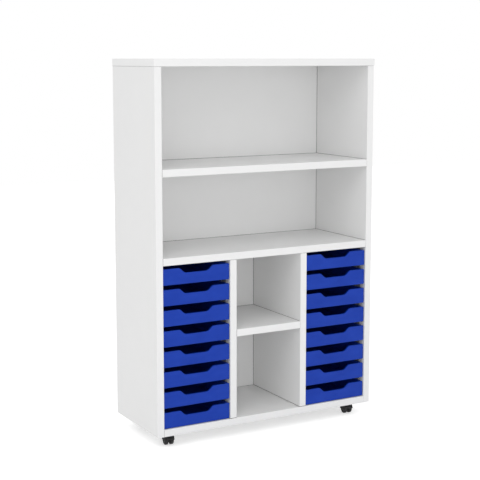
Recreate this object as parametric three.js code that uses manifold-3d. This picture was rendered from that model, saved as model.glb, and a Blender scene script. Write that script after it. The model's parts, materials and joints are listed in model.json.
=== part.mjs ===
// Classroom tray storage unit: a white board carcass on four twin-wheel castors. Two open bays
// lie over an open centre column, which has a column of shallow sliding trays on each side.
// Millimetres, +Z up. The front faces -Y, and the origin is on the floor under the middle.

import * as THREE from 'three';
import { mergeVertices } from 'three/addons/utils/BufferGeometryUtils.js';
import Module from 'manifold-3d';

const wasm = await Module();
wasm.setup();

// Carcass: boards, the clear spaces between them, and the thin back panel.
const BOARD = 25;
const TRAY_BAY_WIDTH = 255;
const CENTRE_BAY_WIDTH = 260;
const TRAY_BAY_HEIGHT = 561;
const MIDDLE_BAY_HEIGHT = 271;
const UPPER_BAY_HEIGHT = 336;
const CENTRE_LOWER_HEIGHT = 290;
const BODY_DEPTH = 338;
const TOP_OVERHANG = 2;
const BACK_THICKNESS = 6;
const REBATE_WIDTH = 10;
const CLEARANCE = 0.3;

// Trays: an open tub under a flat rim, closed by a wider front with a finger scoop.
const TRAYS_PER_COLUMN = 8;
const TRAY_FOOT_GAP = 1.5;
const TRAY_HEAD_GAP = 12;
const TRAY_RECESS = 5;
const TRAY_DEPTH = 312;
const TRAY_TRAVEL = 240;
const FRONT_WIDTH = 252;
const FRONT_HEIGHT = 55;
const FRONT_THICKNESS = 3;
const SCOOP_TOP_WIDTH = 126;
const SCOOP_BOTTOM_WIDTH = 88;
const SCOOP_DEPTH = 17.5;
const SCOOP_ROUNDING = 8;
const LIP_DEPTH = 5;
const LIP_THICKNESS = 2.5;
const RIM_WIDTH = 250;
const RIM_THICKNESS = 3;
const RIM_OVERHANG = 9.5;
const CORNER_RADIUS = 14;
const TUB_WALL = 2;
const TUB_TAPER = 3;
const TUB_FOOT = 1;
const STOP_LENGTH = 6;
const STOP_WIDTH = 4.5;
const STOP_HEIGHT = 1;

// Runner strips: a backing with a channel for the rim of each tray.
const RUNNER_SETBACK = 32;
const RUNNER_LENGTH = 283;
const RUNNER_BACKING = 1.5;
const RUNNER_FLANGE = 1.8;
const LEDGE_REACH = 10.5;
const CAP_REACH = 4;
const RIM_GAP = 0.4;
const CHANNEL_HEIGHT = 4.8;
const RUNNER_END = 8;
const NIB_LENGTH = 5;
const NIB_REACH = 7.5;
const NIB_DROP = 0.9;

// Castors: plate and king pin under the body, and a trailing twin-wheel hood that swivels. All four
// stand at the same small angle.
const CASTOR_HEIGHT = 45;
const FRONT_CASTOR_INSET = 65;
const REAR_CASTOR_INSET = 76;
const CASTOR_ANGLE = THREE.MathUtils.degToRad(-8);
const PLATE_SIZE = 40;
const PLATE_THICKNESS = 2;
const PLATE_HOLE_SPACING = 28;
const PLATE_HOLE_RADIUS = 2.25;
const PIN_RADIUS = 4;
const PIN_COLLAR_RADIUS = 8;
const PIN_COLLAR_HEIGHT = 1.5;
const PIN_REACH = 6;
const PIN_BORE_RADIUS = 4.2;
const BOSS_RADIUS = 9;
const BOSS_HEIGHT = 19;
const SWIVEL_GAP = 0.5;
const TRAIL = 15;
const WHEEL_RADIUS = 17.5;
const WHEEL_WIDTH = 13;
const WHEEL_INNER_EDGE = 3;
const WHEEL_OUTER_EDGE = 5;
const WHEEL_DISH_RADIUS = 9.5;
const WHEEL_DISH_DEPTH = 1.4;
const WHEEL_BORE_RADIUS = 2.75;
const WHEEL_BORE_DEPTH = 9;
const WHEEL_SIDES = 20;
const WEB_THICKNESS = 6;
const WEB_HUB_RADIUS = 8;
const WHEEL_GAP = 0.5;
const FENDER_INNER_RADIUS = 19.2;
const FENDER_THICKNESS = 2;
const FENDER_START = THREE.MathUtils.degToRad(-12);
const FENDER_END = THREE.MathUtils.degToRad(172);
const AXLE_RADIUS = 2.5;
const AXLE_BORE_RADIUS = 2.65;

// Joins overlap by a little, and round forms have these counts of sides or steps.
const OVERLAP = 0.5;
const SCOOP_STEPS = 3;
const CORNER_STEPS = 2;
const HOLE_STEPS = 6;
const PIN_SIDES = 16;
const BORE_SIDES = 24;
const BOSS_SIDES = 16;
const AXLE_SIDES = 12;
const FENDER_STEPS = 10;
const HUB_STEPS = 6;
const WHEEL_EDGE_STEPS = 2;

// Places worked out from the sizes above.
const INNER_WIDTH = 2 * TRAY_BAY_WIDTH + CENTRE_BAY_WIDTH + 2 * BOARD;
const BODY_WIDTH = INNER_WIDTH + 2 * BOARD;
const FRONT_Y = (TOP_OVERHANG - BODY_DEPTH) / 2;
const BACK_Y = FRONT_Y + BODY_DEPTH;
const BACK_PANEL_Y = BACK_Y - BACK_THICKNESS;
const BOARD_BACK_Y = BACK_PANEL_Y - CLEARANCE;
const BASE_Z = CASTOR_HEIGHT;
const FLOOR_Z = BASE_Z + BOARD;
const CENTRE_SHELF_Z = FLOOR_Z + CENTRE_LOWER_HEIGHT;
const MID_SHELF_Z = FLOOR_Z + TRAY_BAY_HEIGHT;
const UPPER_SHELF_Z = MID_SHELF_Z + BOARD + MIDDLE_BAY_HEIGHT;
const TOP_Z = UPPER_SHELF_Z + BOARD + UPPER_BAY_HEIGHT;
const TRAY_BAY_X = (CENTRE_BAY_WIDTH + TRAY_BAY_WIDTH) / 2 + BOARD;
const TRAY_Y = FRONT_Y + TRAY_RECESS;
const TRAY_PITCH = (TRAY_BAY_HEIGHT - TRAY_FOOT_GAP - TRAY_HEAD_GAP - FRONT_HEIGHT) / (TRAYS_PER_COLUMN - 1);
const TUB_WIDTH = RIM_WIDTH - 2 * RIM_OVERHANG;
const STOP_Y = TRAY_DEPTH - CORNER_RADIUS - STOP_LENGTH;
const RUNNER_Y = FRONT_Y + RUNNER_SETBACK;

const FINISHES = {
  board: { color: 0xebebea, roughness: 0.45, metalness: 0 },
  back: { color: 0xeeeeed, roughness: 0.55, metalness: 0 },
  tray: { color: 0x113aa7, roughness: 0.4, metalness: 0 },
  runner: { color: 0x8b8b8d, roughness: 0.5, metalness: 0 },
  steel: { color: 0xb4b7ba, roughness: 0.35, metalness: 1 },
  hood: { color: 0x1d1d1e, roughness: 0.45, metalness: 0 },
  wheel: { color: 0x262627, roughness: 0.6, metalness: 0 },
};

const unit = new THREE.Group();

function addPiece(name, geometry, finish) {
  const piece = new THREE.Mesh(geometry, new THREE.MeshStandardMaterial(FINISHES[finish]));
  piece.name = name;
  unit.add(piece);
}

// A closed solid for joining and cutting, and the way back to a geometry.
function solidOf(geometry) {
  const bare = geometry.clone();
  bare.deleteAttribute('normal');
  bare.deleteAttribute('uv');
  const merged = mergeVertices(bare);
  return new wasm.Manifold(new wasm.Mesh({
    numProp: 3,
    vertProperties: Float32Array.from(merged.attributes.position.array),
    triVerts: Uint32Array.from(merged.index.array),
  }));
}

function geometryOf(solid) {
  const mesh = solid.getMesh();
  const geometry = new THREE.BufferGeometry();
  geometry.setAttribute('position', new THREE.BufferAttribute(Float32Array.from(mesh.vertProperties), 3));
  geometry.setIndex(new THREE.BufferAttribute(Uint32Array.from(mesh.triVerts), 1));
  geometry.computeVertexNormals();
  return geometry;
}

function joined(geometries) {
  return geometries.map(solidOf).reduce((whole, next) => whole.add(next));
}

// A box between two corners.
function box(low, high) {
  const size = high.map((value, axis) => value - low[axis]);
  const middle = high.map((value, axis) => (value + low[axis]) / 2);
  return new THREE.BoxGeometry(...size).translate(...middle);
}

// Extrusions of a flat outline: upwards from a plan, backwards from a front view, and
// sideways from a side view whose outline is drawn in depth and height.
function extrude(points, depth) {
  return new THREE.ExtrudeGeometry(new THREE.Shape(points), { depth, bevelEnabled: false });
}

function extrudeUp(points, low, high) {
  return extrude(points, high - low).translate(0, 0, low);
}

function extrudeBack(points, front, back) {
  return extrude(points, back - front).rotateX(Math.PI / 2).translate(0, back, 0);
}

function extrudeAcross(points, left, right) {
  return extrude(points, right - left).rotateX(Math.PI / 2).rotateZ(Math.PI / 2).translate(left, 0, 0);
}

function point(x, y) {
  return new THREE.Vector2(x, y);
}

// Boards

function sidePanel(side) {
  const outer = BODY_WIDTH / 2;
  const inner = INNER_WIDTH / 2;
  const outline = [
    point(side * inner, FRONT_Y),
    point(side * outer, FRONT_Y),
    point(side * outer, BACK_Y),
    point(side * (inner + REBATE_WIDTH), BACK_Y),
    point(side * (inner + REBATE_WIDTH), BOARD_BACK_Y),
    point(side * inner, BOARD_BACK_Y),
  ];
  return extrudeUp(outline, BASE_Z, TOP_Z);
}

function shelf(width, underside) {
  return box([-width / 2, FRONT_Y, underside], [width / 2, BOARD_BACK_Y, underside + BOARD]);
}

function divider(side) {
  const middle = side * (CENTRE_BAY_WIDTH + BOARD) / 2;
  return box([middle - BOARD / 2, FRONT_Y, FLOOR_Z], [middle + BOARD / 2, BOARD_BACK_Y, MID_SHELF_Z]);
}

function topPanel() {
  const half = BODY_WIDTH / 2 + TOP_OVERHANG;
  return box([-half, FRONT_Y - TOP_OVERHANG, TOP_Z], [half, BACK_Y, TOP_Z + BOARD]);
}

function backPanel() {
  const half = INNER_WIDTH / 2 + REBATE_WIDTH - CLEARANCE;
  return box([-half, BACK_PANEL_Y, BASE_Z], [half, BACK_Y, TOP_Z - CLEARANCE]);
}

// Trays, drawn with the middle of the front's lower edge at the origin and the depth along +Y.

// The finger scoop's outline from left to right, with rounded lower corners.
function scoopOutline(drop) {
  const top = FRONT_HEIGHT - drop;
  const bottom = top - SCOOP_DEPTH;
  const half = SCOOP_BOTTOM_WIDTH / 2;
  const slope = point(SCOOP_TOP_WIDTH / 2 - half, SCOOP_DEPTH).setLength(SCOOP_ROUNDING);
  const outline = new THREE.Path();
  outline.moveTo(-SCOOP_TOP_WIDTH / 2, top);
  outline.lineTo(-half - slope.x, bottom + slope.y);
  outline.quadraticCurveTo(-half, bottom, -half + SCOOP_ROUNDING, bottom);
  outline.lineTo(half - SCOOP_ROUNDING, bottom);
  outline.quadraticCurveTo(half, bottom, half + slope.x, bottom + slope.y);
  outline.lineTo(SCOOP_TOP_WIDTH / 2, top);
  return outline.getPoints(SCOOP_STEPS);
}

// A plan with a straight front and two rounded rear corners.
function tubPlan(width, front, back, radius) {
  const half = width / 2;
  const plan = new THREE.Shape();
  plan.moveTo(-half, front);
  plan.lineTo(half, front);
  plan.absarc(half - radius, back - radius, radius, 0, Math.PI / 2);
  plan.absarc(radius - half, back - radius, radius, Math.PI / 2, Math.PI);
  return plan.getPoints(CORNER_STEPS);
}

// The tub's form between two heights, drawn in towards its foot on both sides and at the back.
function taperedTub(width, front, back, radius, foot, top) {
  const tub = extrudeUp(tubPlan(width, front, back, radius), foot, top);
  const position = tub.attributes.position;
  for (let i = 0; i < position.count; i += 1) {
    const depthBelow = Math.max(0, FRONT_HEIGHT - position.getZ(i)) / FRONT_HEIGHT;
    const drawn = TUB_TAPER * depthBelow;
    position.setX(i, position.getX(i) * (1 - drawn / (width / 2)));
    position.setY(i, front + (position.getY(i) - front) * (1 - drawn / (back - front)));
  }
  return tub;
}

function trayFront() {
  const half = FRONT_WIDTH / 2;
  const outline = [
    point(-half, 0),
    point(half, 0),
    point(half, FRONT_HEIGHT),
    ...scoopOutline(0).reverse(),
    point(-half, FRONT_HEIGHT),
  ];
  return extrudeBack(outline, 0, FRONT_THICKNESS);
}

// The lip that runs back from the front's upper edge and follows the scoop.
function trayLip() {
  const half = TUB_WIDTH / 2;
  const outline = [
    point(-half, FRONT_HEIGHT),
    ...scoopOutline(0),
    point(half, FRONT_HEIGHT),
    point(half, FRONT_HEIGHT - LIP_THICKNESS),
    ...scoopOutline(LIP_THICKNESS).reverse(),
    point(-half, FRONT_HEIGHT - LIP_THICKNESS),
  ];
  return extrudeBack(outline, FRONT_THICKNESS - OVERLAP, FRONT_THICKNESS + LIP_DEPTH);
}

// The raised nub near the rear of the rim that meets the runner's nib at the end of the travel.
function trayStop(side) {
  const outer = RIM_WIDTH / 2;
  const ends = [side * (outer - STOP_WIDTH), side * outer].sort((a, b) => a - b);
  const low = [ends[0], STOP_Y, FRONT_HEIGHT - OVERLAP];
  const high = [ends[1], STOP_Y + STOP_LENGTH, FRONT_HEIGHT + STOP_HEIGHT];
  return box(low, high);
}

function tray() {
  const tubBack = TRAY_DEPTH - RIM_OVERHANG;
  const rimFoot = FRONT_HEIGHT - RIM_THICKNESS;
  const start = FRONT_THICKNESS - OVERLAP;
  const outside = taperedTub(TUB_WIDTH, start, tubBack, CORNER_RADIUS, TUB_FOOT, rimFoot + OVERLAP);
  const rim = extrudeUp(tubPlan(RIM_WIDTH, start, TRAY_DEPTH, CORNER_RADIUS), rimFoot, FRONT_HEIGHT);
  const inside = taperedTub(TUB_WIDTH - 2 * TUB_WALL, start - OVERLAP, tubBack - TUB_WALL,
    CORNER_RADIUS - TUB_WALL, TUB_FOOT + TUB_WALL, FRONT_HEIGHT + OVERLAP);
  const shell = joined([outside, rim]).subtract(solidOf(inside));
  return shell.add(joined([trayFront(), trayLip(), trayStop(-1), trayStop(1)]));
}

// Height of the lower edge of a tray's front, counted from the top tray down.
function trayFoot(row) {
  return FLOOR_Z + TRAY_FOOT_GAP + (TRAYS_PER_COLUMN - row) * TRAY_PITCH;
}

// Runner strips

// One strip on the face of a board at x = face, with its channels towards the given direction.
function runnerStrip(face, direction) {
  const outline = [];
  const nibs = [];
  const nibBack = TRAY_Y + STOP_Y - TRAY_TRAVEL - CLEARANCE;
  for (let row = TRAYS_PER_COLUMN; row >= 1; row -= 1) {
    const ledgeTop = trayFoot(row) + FRONT_HEIGHT - RIM_THICKNESS - RIM_GAP;
    const capFoot = ledgeTop + CHANNEL_HEIGHT;
    outline.push(
      [RUNNER_BACKING, ledgeTop - RUNNER_FLANGE],
      [LEDGE_REACH, ledgeTop - RUNNER_FLANGE],
      [LEDGE_REACH, ledgeTop],
      [RUNNER_BACKING, ledgeTop],
      [RUNNER_BACKING, capFoot],
      [CAP_REACH, capFoot],
      [CAP_REACH, capFoot + RUNNER_FLANGE],
      [RUNNER_BACKING, capFoot + RUNNER_FLANGE],
    );
    const ends = [face + direction * OVERLAP, face + direction * NIB_REACH].sort((a, b) => a - b);
    nibs.push(box(
      [ends[0], nibBack - NIB_LENGTH, capFoot - NIB_DROP],
      [ends[1], nibBack, capFoot + RUNNER_FLANGE],
    ));
  }
  const top = outline.at(-1)[1] + CLEARANCE;
  const foot = outline[0][1] - RUNNER_END;
  outline.push([RUNNER_BACKING, top], [0, top], [0, foot], [RUNNER_BACKING, foot]);
  const section = outline.map(([reach, height]) => point(face + direction * reach, height));
  return joined([extrudeBack(section, RUNNER_Y, RUNNER_Y + RUNNER_LENGTH), ...nibs]);
}

// Castors, drawn with the swivel axis at x = y = 0 and the floor at z = 0. The wheels trail to -Y.

function castorPlate() {
  const half = PLATE_SIZE / 2;
  const offset = PLATE_HOLE_SPACING / 2;
  const corners = [[-half, -half], [half, -half], [half, half], [-half, half]];
  const plate = new THREE.Shape(corners.map(([x, y]) => point(x, y)));
  for (const x of [-offset, offset]) {
    for (const y of [-offset, offset]) {
      plate.holes.push(new THREE.Path().absarc(x, y, PLATE_HOLE_RADIUS, 0, 2 * Math.PI));
    }
  }
  const shape = { depth: PLATE_THICKNESS, bevelEnabled: false, curveSegments: HOLE_STEPS };
  return new THREE.ExtrudeGeometry(plate, shape).translate(0, 0, BASE_Z - PLATE_THICKNESS);
}

function kingPin() {
  const top = BASE_Z - PLATE_THICKNESS;
  const collar = top - PIN_COLLAR_HEIGHT;
  const profile = [
    point(0, collar - PIN_REACH),
    point(PIN_RADIUS, collar - PIN_REACH),
    point(PIN_RADIUS, collar),
    point(PIN_COLLAR_RADIUS, collar),
    point(PIN_COLLAR_RADIUS, top),
    point(0, top),
  ];
  return new THREE.LatheGeometry(profile, PIN_SIDES).rotateX(Math.PI / 2);
}

// A cylinder along X through the wheels' centre.
function crossCylinder(radius, length, sides) {
  return new THREE.CylinderGeometry(radius, radius, length, sides)
    .rotateZ(Math.PI / 2)
    .translate(0, -TRAIL, WHEEL_RADIUS);
}

function uprightCylinder(radius, low, high, sides) {
  return new THREE.CylinderGeometry(radius, radius, high - low, sides)
    .rotateX(Math.PI / 2)
    .translate(0, 0, (high + low) / 2);
}

// Points of an arc about the wheels' centre, in depth and height.
function wheelArc(radius, start, end, steps) {
  const points = [];
  for (let i = 0; i <= steps; i += 1) {
    const angle = start + (end - start) * i / steps;
    points.push(point(radius * Math.cos(angle) - TRAIL, radius * Math.sin(angle) + WHEEL_RADIUS));
  }
  return points;
}

// The hood: a fender over both wheels, a web between them, and a boss round the king pin.
function castorHood() {
  const halfWidth = WEB_THICKNESS / 2 + WHEEL_GAP + WHEEL_WIDTH;
  const outerRadius = FENDER_INNER_RADIUS + FENDER_THICKNESS;
  const bossTop = BASE_Z - PLATE_THICKNESS - PIN_COLLAR_HEIGHT - SWIVEL_GAP;
  const fender = extrudeAcross([
    ...wheelArc(outerRadius, FENDER_START, FENDER_END, FENDER_STEPS),
    ...wheelArc(FENDER_INNER_RADIUS, FENDER_END, FENDER_START, FENDER_STEPS),
  ], -halfWidth, halfWidth);
  const web = extrudeAcross([
    ...wheelArc(FENDER_INNER_RADIUS + FENDER_THICKNESS / 2, FENDER_START, FENDER_END, FENDER_STEPS),
    ...wheelArc(WEB_HUB_RADIUS, FENDER_END, FENDER_START + 2 * Math.PI, HUB_STEPS),
  ], -WEB_THICKNESS / 2, WEB_THICKNESS / 2);
  const boss = uprightCylinder(BOSS_RADIUS, bossTop - BOSS_HEIGHT, bossTop, BOSS_SIDES);
  const wheelSpace = crossCylinder(FENDER_INNER_RADIUS + OVERLAP, 2 * halfWidth, BORE_SIDES);
  const pinBore = uprightCylinder(PIN_BORE_RADIUS, bossTop - PIN_REACH, bossTop + OVERLAP, BORE_SIDES);
  const axleBore = crossCylinder(AXLE_BORE_RADIUS, 2 * WEB_THICKNESS, BORE_SIDES);
  return solidOf(boss)
    .subtract(solidOf(wheelSpace))
    .add(joined([fender, web]))
    .subtract(joined([pinBore, axleBore]));
}

function castorAxle() {
  const reach = WEB_THICKNESS / 2 + WHEEL_GAP + WHEEL_BORE_DEPTH - CLEARANCE;
  return crossCylinder(AXLE_RADIUS, 2 * reach, AXLE_SIDES);
}

// One wheel with a blind bore towards the web, rounded tread edges and a dished outer face.
// One flat of the faceted tread lies on the floor.
function castorWheel(side) {
  const tread = WHEEL_RADIUS / Math.cos(Math.PI / WHEEL_SIDES);
  const outline = new THREE.Path();
  outline.moveTo(0, WHEEL_BORE_DEPTH);
  outline.lineTo(WHEEL_BORE_RADIUS, WHEEL_BORE_DEPTH);
  outline.lineTo(WHEEL_BORE_RADIUS, 0);
  outline.absarc(tread - WHEEL_INNER_EDGE, WHEEL_INNER_EDGE, WHEEL_INNER_EDGE, -Math.PI / 2, 0);
  outline.absarc(tread - WHEEL_OUTER_EDGE, WHEEL_WIDTH - WHEEL_OUTER_EDGE, WHEEL_OUTER_EDGE, 0, Math.PI / 2);
  outline.lineTo(WHEEL_DISH_RADIUS + WHEEL_DISH_DEPTH, WHEEL_WIDTH);
  outline.lineTo(WHEEL_DISH_RADIUS, WHEEL_WIDTH - WHEEL_DISH_DEPTH);
  outline.lineTo(0, WHEEL_WIDTH - WHEEL_DISH_DEPTH);
  const profile = outline.getPoints(WHEEL_EDGE_STEPS);
  return new THREE.LatheGeometry(profile, WHEEL_SIDES, Math.PI / WHEEL_SIDES)
    .rotateZ(-side * Math.PI / 2)
    .translate(side * (WEB_THICKNESS / 2 + WHEEL_GAP), -TRAIL, WHEEL_RADIUS);
}

// Assembly

const SIDES = { left: -1, right: 1 };

addPiece('top_panel', topPanel(), 'board');
addPiece('bottom_panel', shelf(INNER_WIDTH, BASE_Z), 'board');
addPiece('mid_shelf', shelf(INNER_WIDTH, MID_SHELF_Z), 'board');
addPiece('upper_shelf', shelf(INNER_WIDTH, UPPER_SHELF_Z), 'board');
addPiece('centre_shelf', shelf(CENTRE_BAY_WIDTH, CENTRE_SHELF_Z), 'board');
addPiece('back_panel', backPanel(), 'back');

const trayShape = geometryOf(tray());

for (const [column, side] of Object.entries(SIDES)) {
  addPiece(`${column}_side_panel`, sidePanel(side), 'board');
  addPiece(`${column}_divider`, divider(side), 'board');
  const bayMiddle = side * TRAY_BAY_X;
  for (const [end, facing] of Object.entries(SIDES)) {
    const strip = runnerStrip(bayMiddle + facing * TRAY_BAY_WIDTH / 2, -facing);
    addPiece(`${column}_bay_${end}_runner_strip`, geometryOf(strip), 'runner');
  }
  for (let row = 1; row <= TRAYS_PER_COLUMN; row += 1) {
    const shape = trayShape.clone().translate(bayMiddle, TRAY_Y, trayFoot(row));
    addPiece(`${column}_tray_${row}`, shape, 'tray');
  }
}

const castorPlaces = {
  front: [BODY_WIDTH / 2 - FRONT_CASTOR_INSET, FRONT_Y + FRONT_CASTOR_INSET],
  rear: [BODY_WIDTH / 2 - REAR_CASTOR_INSET, BACK_Y - REAR_CASTOR_INSET],
};
const hoodShape = geometryOf(castorHood());

for (const [end, [reach, y]] of Object.entries(castorPlaces)) {
  for (const [hand, side] of Object.entries(SIDES)) {
    const castor = `${end}_${hand}_castor`;
    const x = side * reach;
    addPiece(`${castor}_plate`, castorPlate().translate(x, y, 0), 'steel');
    addPiece(`${castor}_king_pin`, kingPin().translate(x, y, 0), 'steel');
    const swivelled = (shape) => shape.rotateZ(CASTOR_ANGLE).translate(x, y, 0);
    addPiece(`${castor}_hood`, swivelled(hoodShape.clone()), 'hood');
    addPiece(`${castor}_axle`, swivelled(castorAxle()), 'steel');
    for (const [wheelHand, wheelSide] of Object.entries(SIDES)) {
      addPiece(`${castor}_${wheelHand}_wheel`, swivelled(castorWheel(wheelSide)), 'wheel');
    }
  }
}

export default unit;
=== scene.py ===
"""Looks of the classroom tray storage unit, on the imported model. Metres, +Z up, the front faces -Y."""

import json
import math

import bmesh
import bpy
from mathutils import Matrix, Vector

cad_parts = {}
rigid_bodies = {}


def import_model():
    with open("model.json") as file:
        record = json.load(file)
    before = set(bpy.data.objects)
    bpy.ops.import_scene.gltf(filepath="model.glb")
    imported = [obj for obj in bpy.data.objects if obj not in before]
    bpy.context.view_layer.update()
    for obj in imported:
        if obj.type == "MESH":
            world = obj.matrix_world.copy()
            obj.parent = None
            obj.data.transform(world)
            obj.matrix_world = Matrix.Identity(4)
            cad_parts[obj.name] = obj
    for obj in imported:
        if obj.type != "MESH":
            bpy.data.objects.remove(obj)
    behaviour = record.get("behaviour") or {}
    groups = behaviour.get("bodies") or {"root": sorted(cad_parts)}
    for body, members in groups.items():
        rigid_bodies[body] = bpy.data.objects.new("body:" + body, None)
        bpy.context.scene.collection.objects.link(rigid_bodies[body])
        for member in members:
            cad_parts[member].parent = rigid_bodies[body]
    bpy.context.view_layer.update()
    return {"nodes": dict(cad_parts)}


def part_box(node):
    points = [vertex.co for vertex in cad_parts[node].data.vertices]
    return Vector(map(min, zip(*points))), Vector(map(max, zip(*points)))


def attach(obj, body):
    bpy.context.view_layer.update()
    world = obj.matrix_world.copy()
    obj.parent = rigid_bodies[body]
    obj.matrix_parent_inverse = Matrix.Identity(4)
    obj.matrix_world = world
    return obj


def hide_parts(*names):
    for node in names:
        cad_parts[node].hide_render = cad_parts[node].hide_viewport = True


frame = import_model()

MM = 0.001
FIT = 0.01 * MM
SAME_PLACE = 0.0001 * MM
SIDES = {"left": -1, "right": 1}
ENDS = ("front", "rear")
CABINET = "cabinet"

# Boards: rounded edges, the plastic band glued on the edges that show, and the joints, where the
# raw ends of the boards and the seams cut beside them show as fine dark lines: their near-black
# colour is painted shade.
EDGE_ROUND = 1.1 * MM
TOP_CORNER = 2.2 * MM
JOINT_ROUND = 0.7 * MM
# The rounded raw ends and the seams take the near-black core colour, painted shade for the joints, so these
# sizes set how wide the dark lines are.
END_ROUND = 0.5 * MM
BOTTOM_END_ROUND = 0.2 * MM
FOOT_JOINT_ROUND = 1.9 * MM
SEAM_HEIGHT = 0.9 * MM
SEAM_WIDTH = 1.3 * MM
SEAM_DEPTH = 1.2 * MM
SEAM_SETBACK = 3 * MM
BAND_THICKNESS = 2 * MM
BAND_GROOVE = 0.15 * MM
BACK_PANEL_SETBACK = 0.5 * MM

# Trays, measured from the middle of the lower edge of the front, with the depth along +Y. Angles
# are in degrees.
TRAY_ROWS = range(1, 9)
FRONT_HEIGHT = 55 * MM
FRONT_THICKNESS = 3 * MM
FRONT_FACE_ROUND = 1.4 * MM
FRONT_REAR_ROUND = 0.8 * MM
FRONT_CORNER = 2.4 * MM
SCOOP_TOP_HALF = 63 * MM
SCOOP_FOOT_HALF = 44 * MM
SCOOP_DEPTH = 17.5 * MM
SCOOP_SHOULDER_LEG = 5 * MM
SCOOP_FOOT_LEG = 8 * MM
LIP_REACH = 6.6 * MM
LIP_THICKNESS = 2.5 * MM
LIP_FADE_START = 92 * MM
LIP_FADE_STOP = 106 * MM
TUB_HALF = 115.5 * MM
TUB_FRONT = 1.4 * MM
TUB_FRONT_CORNER = 6 * MM
TUB_REAR_CORNER = 16 * MM
TUB_WALL = 2 * MM
TUB_TAPER = 3 * MM
TUB_FLOOR = 3 * MM
TUB_FOOT = 1 * MM
TUB_FILLET = 6 * MM
FOOT_RING = 11 * MM
FOOT_STEP = 4 * MM
FOOT_RECESS = 0.8 * MM
RIM_REACH = 9.5 * MM
RIM_THICKNESS = 3 * MM
WALL_ROUND = 1.5 * MM
WALL_STEP = 0.6 * MM
NECK_STOP = 100
RIM_SPAN = 89
STOP_WIDTH = 4.5 * MM
STOP_LENGTH = 6 * MM
STOP_HEIGHT = 1 * MM
STOP_SINK = 0.5 * MM
STOP_REAR_INSET = 17 * MM
SEAM_DROP = 0.02 * MM

# Castors, measured from the swivel axis at floor level. The wheels trail to -Y, and then all four
# castors stand at one angle to it. The fender's start and stop are in degrees about the axle.
CASTOR_ANGLE = math.radians(-8)
TRAIL = 15 * MM
WHEEL_RADIUS = 17.5 * MM
WHEEL_WIDTH = 13 * MM
WHEEL_INNER_FACE = 3.5 * MM
WHEEL_INNER_EDGE = 3 * MM
WHEEL_OUTER_EDGE = 5 * MM
WHEEL_BORE = 2.75 * MM
WHEEL_BORE_DEPTH = 9 * MM
DISH_RADIUS = 9.5 * MM
DISH_DEPTH = 1.4 * MM
BUTTON_RADIUS = 5 * MM
BUTTON_DROP = 0.2 * MM
BUTTON_EASE = 0.6 * MM
HOOD_HALF = 16.5 * MM
FENDER_INNER = 19.2 * MM
FENDER_OUTER = 21.2 * MM
FENDER_ROUND = 0.9 * MM
FENDER_START = -12
FENDER_STOP = 172
WEB_HALF = 3 * MM
WEB_HUB = 8 * MM
BOSS_RADIUS = 9 * MM
BOSS_FOOT = 22 * MM
BOSS_TOP = 41 * MM
PIN_BORE = 4.2 * MM
PIN_BORE_FOOT = 35 * MM
PLATE_HOLE_OFFSET = 14 * MM
STEEL_EASE = 0.3 * MM

# Fasteners: head radius and height, the shares of them in a head's form, the turn in radians from
# one screw to the next, and the screws' places.
PLATE_SCREW = (3.6 * MM, 1.8 * MM)
RUNNER_SCREW = (3.2 * MM, 1.6 * MM)
BACK_SCREW = (3.4 * MM, 0.5 * MM)
CROSS_WIDTH_SHARE = 0.28
CROSS_LENGTH_SHARE = 1.2
CROSS_FLOOR_SHARE = 0.35
CROSS_EASE_SHARE = 0.25
SINK_SHARE = 0.5
CROWN_SHARE = 0.05
SCREW_TURN = 1.1
BACK_SCREW_ROWS = 8
BACK_SCREW_END_INSET = 45 * MM
BACK_SCREW_EDGE_INSET = 5 * MM
SHELF_SCREWS = 4
DIVIDER_SCREWS = 3
RUNNER_SCREW_TRAYS = (1, 4, 7)
RUNNER_SCREW_HEIGHT = 24 * MM
RUNNER_SCREW_END_INSET = 28 * MM

# Runner strips.
RUNNER_BACKING = 1.5 * MM
RUNNER_EASE = 0.3 * MM

# Steps in round forms.
ROUND_STEPS = 3
EASE_STEPS = 2
FILLET_STEPS = 5
CORNER_STEPS = 7
BEND_STEPS = 6
LATHE_STEPS = 48
SCREW_STEPS = 24
DOME_STEPS = 6
FENDER_STEPS = 36
HUB_STEPS = 14
SMOOTH_ANGLE = math.radians(38)

# Camera: where it stands, how it is turned in degrees, and its lens and sensor in millimetres, fitted
# to the photograph's edges.
CAMERA_PLACE = (-2.0658, -3.6164, 1.3158)
CAMERA_YAW = 29.47
CAMERA_PITCH = 7.70
CAMERA_LENS = 87.74
CAMERA_SENSOR = 36.0
CAMERA_SHIFT = -0.05

# Finishes: the part of a noise pattern's range that its blotches use.
NOISE_LOW = 0.3
NOISE_HIGH = 0.7

# Light: an even white room, and two wide soft lamps in front, each with its place and power.
WHITE = (1, 1, 1, 1)
ROOM_LIGHT = 0.84
LAMPS = {"key": ((-2.4, -2.6, 3.4), 26), "fill": ((-1.5, -4.6, 0.9), 28)}
LAMP_WIDTH = 2.5
LAMP_TARGET = (0, 0, 0.7)
FLOOR_HALF = 8
FLOOR_COLOUR = (0.85, 0.85, 0.85, 1)
FLOOR_ROUGHNESS = 0.9
FLOOR_GLOW = 0.5


# Mesh forms

def neighbours(items):
    """Each item of a closed list with the ones before and after it."""
    return zip(items[-1:] + items[:-1], items, items[1:] + items[:1])


def arc(centre, radius, start, stop, steps):
    """Points of a flat arc between two angles in degrees, with both ends."""
    angles = [math.radians(start + (stop - start) * i / steps) for i in range(steps + 1)]
    return [Vector(centre) + radius * Vector((math.cos(a), math.sin(a))) for a in angles]


def bend(before, corner, after, steps=BEND_STEPS):
    """Points of a smooth bend from one leg of a corner to the other."""
    shares = [i / steps for i in range(steps + 1)]
    return [before.lerp(corner, t).lerp(corner.lerp(after, t), t) for t in shares]


def rectangle(left, low, right, high, radius=0):
    """The corners of a rectangle along the axes, anticlockwise, each with the same radius."""
    return [(left, low, radius), (right, low, radius), (right, high, radius), (left, high, radius)]


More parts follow.
